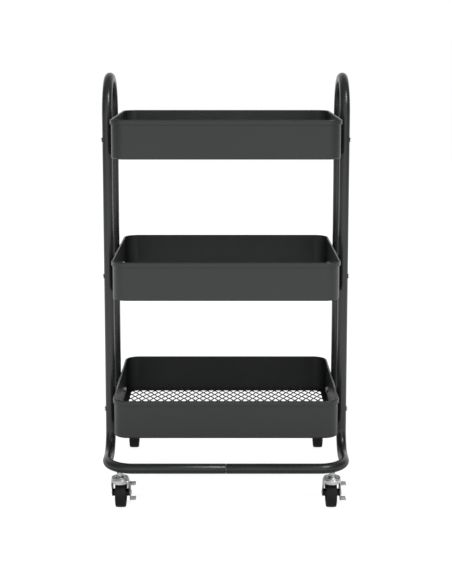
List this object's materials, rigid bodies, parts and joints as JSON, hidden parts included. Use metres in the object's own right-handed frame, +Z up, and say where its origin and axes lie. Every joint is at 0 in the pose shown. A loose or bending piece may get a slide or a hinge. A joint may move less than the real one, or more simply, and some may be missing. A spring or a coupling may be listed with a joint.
{
  "type": "rolling pantry cart",
  "caption": "Tiered trolley with rectangular sheet-metal baskets on mesh floors, held between two bent-tube side frames on swivel casters.",
  "frame": {"origin": "on the floor, under the middle of the cart's overall box", "axes": "+Z up, +X to the right seen from the front, front towards -Y"},
  "size_m": [0.4244, 0.3781, 0.7291],
  "materials": {
    "frame_paint": "satin anthracite powder coat",
    "basket_paint": "satin anthracite powder coat",
    "mesh_paint": "satin anthracite powder coat",
    "sleeve": "plain steel",
    "fastener": "black-coated steel",
    "spacer": "matt black",
    "zinc": "bright zinc plate",
    "wheel_rubber": "matt black, slightly worn tread"
  },
  "bodies": {
    "cart": {"bottom_basket": "basket_paint", "bottom_basket_floor": "mesh_paint", "bottom_bolts": "fastener", "bottom_nuts": "fastener", "bottom_spacers": "spacer", "caster_stems": "zinc", "front_joint_sleeve": "sleeve", "left_side_frame": "frame_paint", "middle_basket": "basket_paint", "middle_basket_floor": "mesh_paint", "middle_bolts": "fastener", "middle_nuts": "fastener", "middle_spacers": "spacer", "rear_joint_sleeve": "sleeve", "right_side_frame": "frame_paint", "top_basket": "basket_paint", "top_basket_floor": "mesh_paint", "top_bolts": "fastener", "top_nuts": "fastener", "top_spacers": "spacer"},
    "front_left_caster": {"front_left_axle": "zinc", "front_left_fork": "zinc"},
    "front_left_roller": {"front_left_wheel": "wheel_rubber"},
    "front_left_brake": {"front_left_brake_lever": "zinc"},
    "front_right_caster": {"front_right_axle": "zinc", "front_right_fork": "zinc"},
    "front_right_roller": {"front_right_wheel": "wheel_rubber"},
    "front_right_brake": {"front_right_brake_lever": "zinc"},
    "rear_left_caster": {"rear_left_axle": "zinc", "rear_left_fork": "zinc"},
    "rear_left_roller": {"rear_left_wheel": "wheel_rubber"},
    "rear_right_caster": {"rear_right_axle": "zinc", "rear_right_fork": "zinc"},
    "rear_right_roller": {"rear_right_wheel": "wheel_rubber"}
  },
  "joints": [
    {"name": "front_left_swivel", "type": "hinge", "parent": "cart", "child": "front_left_caster", "pos_m": [-0.178, -0.17427, 0.0515], "axis": [0, 0, 1], "continuous": true},
    {"name": "front_left_roll", "type": "hinge", "parent": "front_left_caster", "child": "front_left_roller", "pos_m": [-0.178, -0.15727, 0.025], "axis": [1, 0, 0], "continuous": true},
    {"name": "front_left_brake_rock", "type": "hinge", "parent": "front_left_caster", "child": "front_left_brake", "pos_m": [-0.1633, -0.15727, 0.025], "axis": [1, 0, 0], "range_deg": [0, 16]},
    {"name": "front_right_swivel", "type": "hinge", "parent": "cart", "child": "front_right_caster", "pos_m": [0.178, -0.17427, 0.0515], "axis": [0, 0, 1], "continuous": true},
    {"name": "front_right_roll", "type": "hinge", "parent": "front_right_caster", "child": "front_right_roller", "pos_m": [0.178, -0.15727, 0.025], "axis": [1, 0, 0], "continuous": true},
    {"name": "front_right_brake_rock", "type": "hinge", "parent": "front_right_caster", "child": "front_right_brake", "pos_m": [0.1927, -0.15727, 0.025], "axis": [1, 0, 0], "range_deg": [0, 16]},
    {"name": "rear_left_swivel", "type": "hinge", "parent": "cart", "child": "rear_left_caster", "pos_m": [-0.178, 0.14697, 0.0515], "axis": [0, 0, 1], "continuous": true},
    {"name": "rear_left_roll", "type": "hinge", "parent": "rear_left_caster", "child": "rear_left_roller", "pos_m": [-0.178, 0.16397, 0.025], "axis": [1, 0, 0], "continuous": true},
    {"name": "rear_right_swivel", "type": "hinge", "parent": "cart", "child": "rear_right_caster", "pos_m": [0.178, 0.14697, 0.0515], "axis": [0, 0, 1], "continuous": true},
    {"name": "rear_right_roll", "type": "hinge", "parent": "rear_right_caster", "child": "rear_right_roller", "pos_m": [0.178, 0.16397, 0.025], "axis": [1, 0, 0], "continuous": true}
  ]
}
